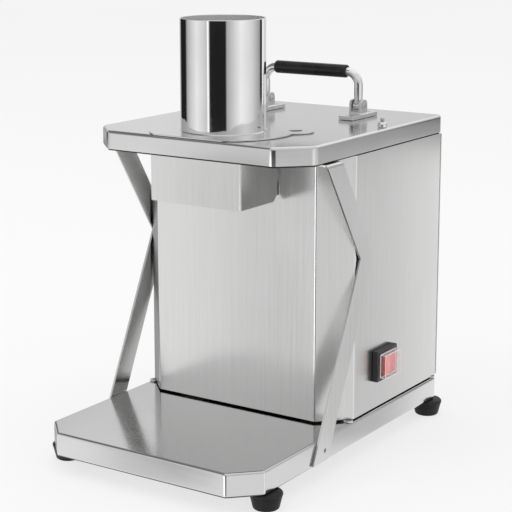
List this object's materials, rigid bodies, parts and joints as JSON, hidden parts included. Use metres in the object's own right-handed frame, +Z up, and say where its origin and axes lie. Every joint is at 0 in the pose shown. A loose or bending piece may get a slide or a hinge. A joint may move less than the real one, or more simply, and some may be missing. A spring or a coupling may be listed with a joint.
{
  "type": "electric vegetable dicer",
  "caption": "Bench-top stainless vegetable dicer: feed tube on a top plate, box body over a base pan, knee braces, folding handle, front chute and a red rocker switch.",
  "frame": {"origin": "centre of the footprint, on the surface the four feet stand on", "axes": "+Z up, -Y towards the chute and catch deck (the front), +X to the side with the switch"},
  "size_m": [0.2922, 0.417, 0.472],
  "materials": {
    "brushed_stainless": "vertical brushed grain, satin",
    "satin_stainless": "fine satin sheet",
    "polished_stainless": "mirror polished",
    "chrome_plate": "polished chrome plate",
    "plain_steel": "plain zinc-plated or stainless steel",
    "cast_aluminium": "machined casting",
    "black_rubber": "smooth black rubber",
    "black_plastic": "moulded, semi-matt",
    "red_plastic": "glossy translucent red",
    "clear_boot": "clear flexible boot",
    "dark_paint": "dark grey motor enamel",
    "white_plastic": "moulded off-white"
  },
  "bodies": {
    "machine": {"body_shell": "brushed_stainless", "rear_cover": "brushed_stainless", "chute_hood": "brushed_stainless", "brace_left": "brushed_stainless", "brace_right": "brushed_stainless", "base_pan": "satin_stainless", "top_plate": "satin_stainless", "deck_plate": "satin_stainless", "chute_slide": "satin_stainless", "handle_bracket_left": "satin_stainless", "handle_bracket_right": "satin_stainless", "lid_nut_left": "chrome_plate", "lid_nut_right": "chrome_plate", "bearing_upper": "plain_steel", "bearing_lower": "plain_steel", "motor_plate": "plain_steel", "lid_stud_left": "plain_steel", "lid_stud_right": "plain_steel", "handle_pin_left": "plain_steel", "handle_pin_right": "plain_steel", "brace_screw_left": "plain_steel", "brace_screw_right": "plain_steel", "bracket_screw_left_front": "plain_steel", "bracket_screw_left_rear": "plain_steel", "bracket_screw_right_front": "plain_steel", "bracket_screw_right_rear": "plain_steel", "cover_screw_top_left": "plain_steel", "cover_screw_top_right": "plain_steel", "cover_screw_bottom_left": "plain_steel", "cover_screw_bottom_right": "plain_steel", "spacer_nut_front_left": "plain_steel", "spacer_nut_front_right": "plain_steel", "spacer_nut_rear_left": "plain_steel", "spacer_nut_rear_right": "plain_steel", "bearing_housing": "cast_aluminium", "foot_front_left": "black_rubber", "foot_front_right": "black_rubber", "foot_rear_left": "black_rubber", "foot_rear_right": "black_rubber", "shaft_seal": "black_rubber", "drive_belt": "black_rubber", "switch_housing": "black_plastic", "cord_gland": "black_plastic", "switch_boot": "clear_boot", "motor_housing": "dark_paint", "capacitor": "white_plastic", "terminal_block": "white_plastic"},
    "cutting_spindle": {"spindle": "plain_steel", "slicing_blade": "satin_stainless", "blade_nut": "plain_steel", "spindle_pulley": "cast_aluminium"},
    "motor_rotor": {"motor_shaft": "plain_steel", "motor_pulley": "cast_aluminium"},
    "rocker": {"switch_rocker": "red_plastic"},
    "handle": {"handle_bar": "chrome_plate", "handle_grip": "black_rubber"},
    "feed_assembly": {"feed_tube": "polished_stainless", "feed_flange": "satin_stainless"},
    "dicing_grid": {"grid_frame": "plain_steel", "grid_knives": "plain_steel"}
  },
  "joints": [
    {"name": "spindle_spin", "type": "hinge", "parent": "machine", "child": "cutting_spindle", "pos_m": [-0.00165, 0.0145, 0.276], "axis": [0, 0, 1], "continuous": true},
    {"name": "motor_spin", "type": "hinge", "parent": "machine", "child": "motor_rotor", "pos_m": [-0.00165, 0.1195, 0.226], "axis": [0, 0, 1], "continuous": true},
    {"name": "switch_rock", "type": "hinge", "parent": "machine", "child": "rocker", "pos_m": [0.13785, 0.0565, 0.0945], "axis": [0, 0, 1], "range_deg": [-14, 0]},
    {"name": "handle_fold", "type": "hinge", "parent": "machine", "child": "handle", "pos_m": [0.00385, 0.1135, 0.3665], "axis": [-1, 0, 0], "range_deg": [0, 88]},
    {"name": "feed_lift", "type": "slide", "parent": "machine", "child": "feed_assembly", "axis": [0, 0, 1], "range_m": [0, 0.06]},
    {"name": "grid_lift", "type": "slide", "parent": "machine", "child": "dicing_grid", "axis": [0, 0, 1], "range_m": [0, 0.03]}
  ],
  "couplings": [
    {"joint": "motor_spin", "follows": "spindle_spin", "ratio": 2.2222},
    {"joint": "grid_lift", "follows": "feed_lift", "ratio": 0.5}
  ]
}
